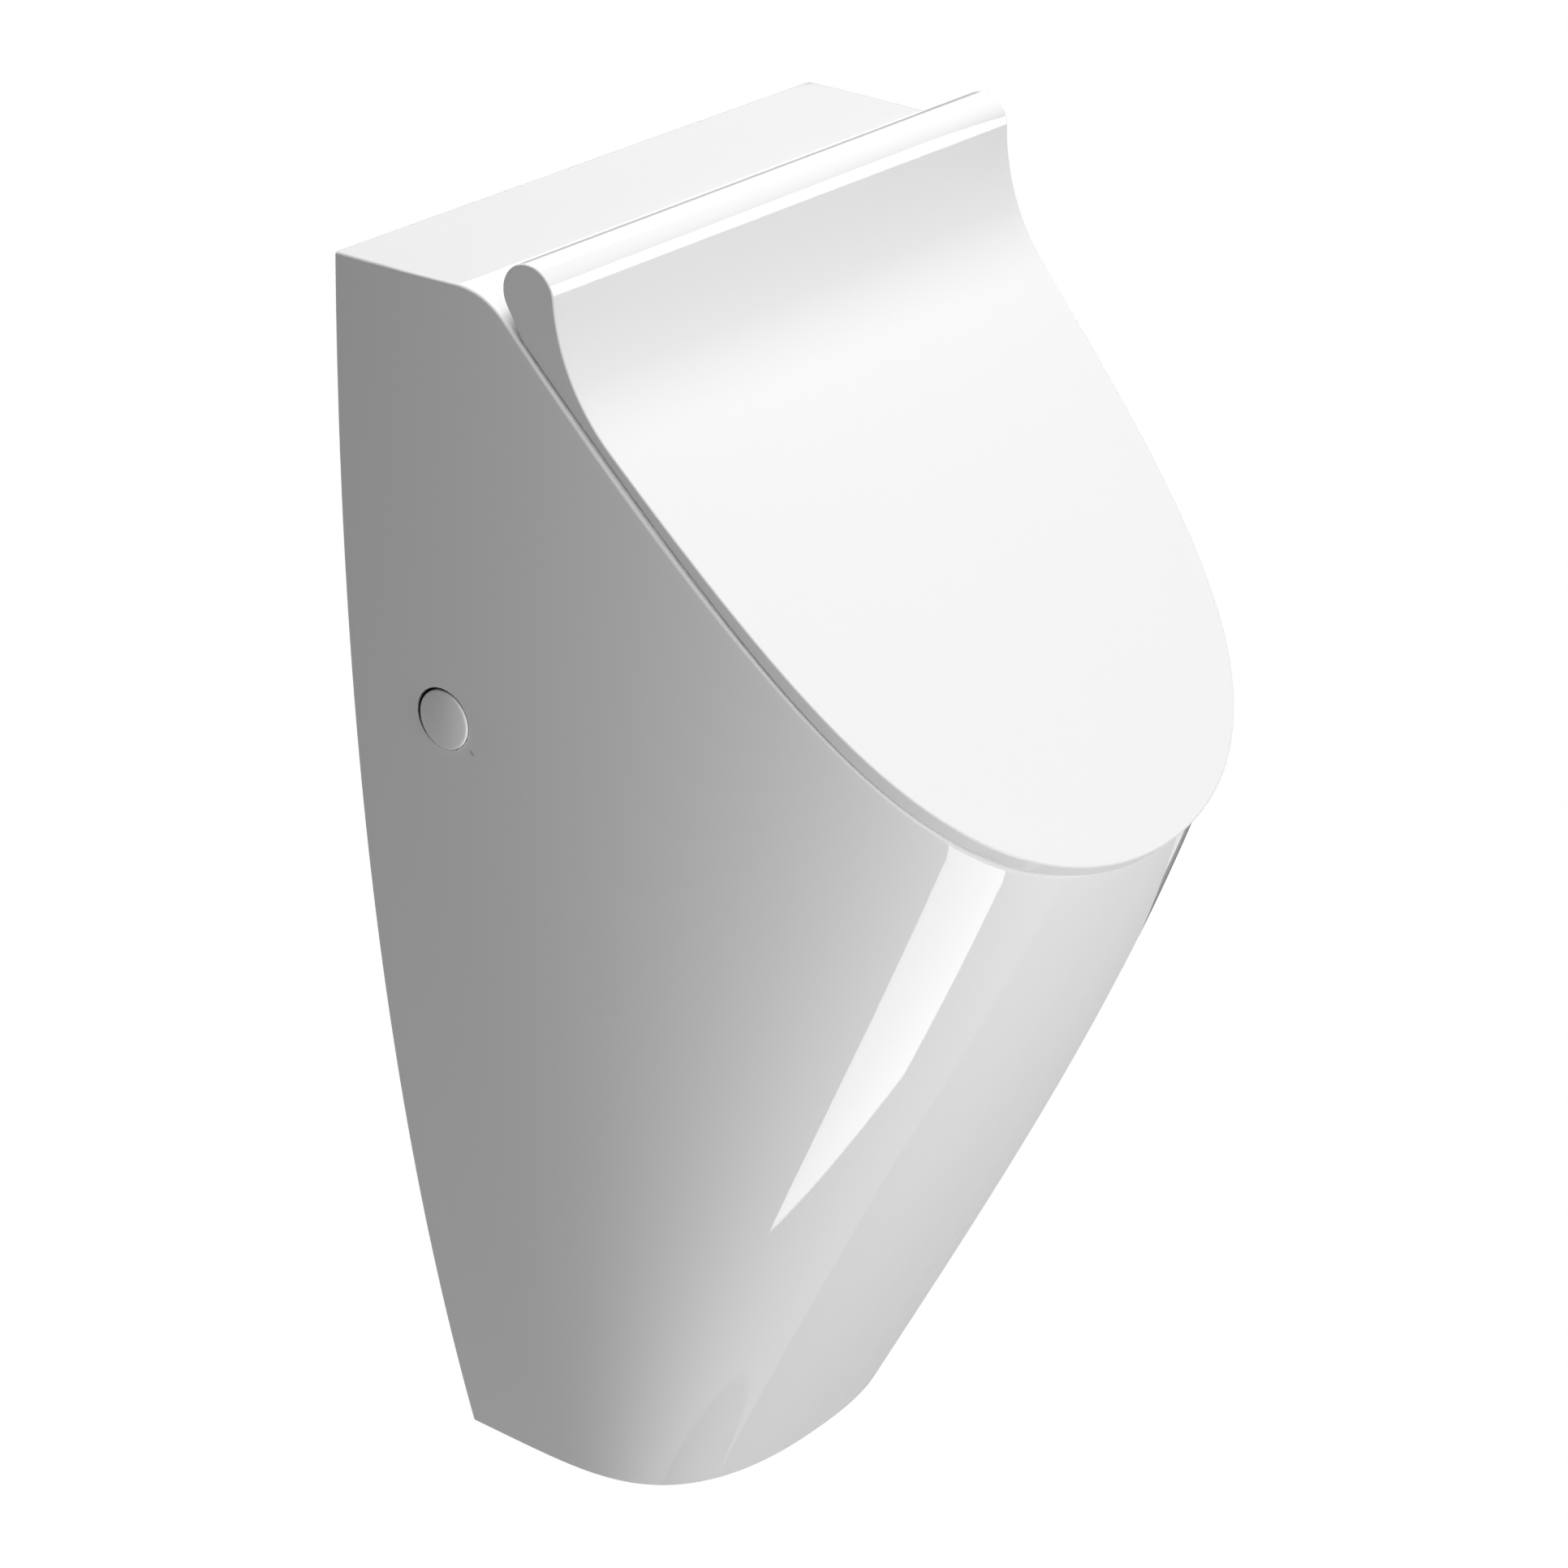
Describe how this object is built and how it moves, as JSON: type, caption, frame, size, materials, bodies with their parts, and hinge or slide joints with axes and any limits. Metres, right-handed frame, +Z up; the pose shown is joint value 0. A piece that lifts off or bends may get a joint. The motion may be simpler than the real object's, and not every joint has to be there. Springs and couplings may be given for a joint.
{
  "type": "wall hung urinal",
  "caption": "Wall hung urinal of white china with a tapered bowl, a hinged lid with a roll along its top edge, and hidden side fixings, inlet and trap.",
  "frame": {"origin": "on the wall, midway between the two wall fixings", "axes": "+Z up, +Y into the wall, so the room is at -Y, and +X to the right as seen from the room"},
  "size_m": [0.3362, 0.3371, 0.6584],
  "materials": {
    "china": "white vitreous china under a clear gloss glaze",
    "lid_white": "white moulded thermoset, polished",
    "cap_white": "white moulded plastic, glossy",
    "buffer_rubber": "light grey soft rubber",
    "seal_rubber": "black sealing rubber",
    "stainless": "stainless steel, satin",
    "zinc_plated": "zinc plated sheet steel",
    "chrome_plated": "chrome plated",
    "brass": "turned brass",
    "damper_grey": "dark grey plastic",
    "natural_plastic": "natural white plastic",
    "pipe_white": "white waste pipe plastic, semi gloss"
  },
  "bodies": {
    "urinal": {"ceramic_body": "china", "hinge_post_left": "stainless", "hinge_post_right": "stainless", "hinge_studs": "stainless", "hinge_washers": "seal_rubber", "hinge_nuts": "stainless", "hinge_shafts": "stainless", "wall_bracket_left": "zinc_plated", "wall_bracket_right": "zinc_plated", "side_bushes": "natural_plastic", "side_screws": "stainless", "hole_cap_left": "cap_white", "hole_cap_right": "cap_white", "spray_head": "chrome_plated", "spray_head_gasket": "seal_rubber", "inlet_washer": "seal_rubber", "inlet_locknut": "brass", "inlet_socket": "natural_plastic", "inlet_seal": "seal_rubber", "strainer": "stainless", "strainer_screw": "stainless", "waste_body": "chrome_plated", "waste_top_seal": "seal_rubber", "waste_lower_seal": "seal_rubber", "waste_ring_nut": "pipe_white", "trap_union_nut": "pipe_white", "trap_inlet_seal": "seal_rubber", "dip_tube": "pipe_white", "trap_body": "pipe_white", "trap_cup_seal": "seal_rubber", "trap_cup": "pipe_white", "outlet_seal": "seal_rubber", "outlet_nut": "pipe_white", "outlet_pipe": "pipe_white"},
    "lid": {"lid_cover": "lid_white", "lid_buffers": "buffer_rubber", "damper_left": "damper_grey", "damper_right": "damper_grey", "damper_spacers": "natural_plastic", "shaft_bushes": "natural_plastic"}
  },
  "joints": [
    {"name": "lid_hinge", "type": "hinge", "parent": "urinal", "child": "lid", "pos_m": [0, -0.1105, 0.2113], "axis": [-1, 0, 0], "range_deg": [0, 138]}
  ]
}
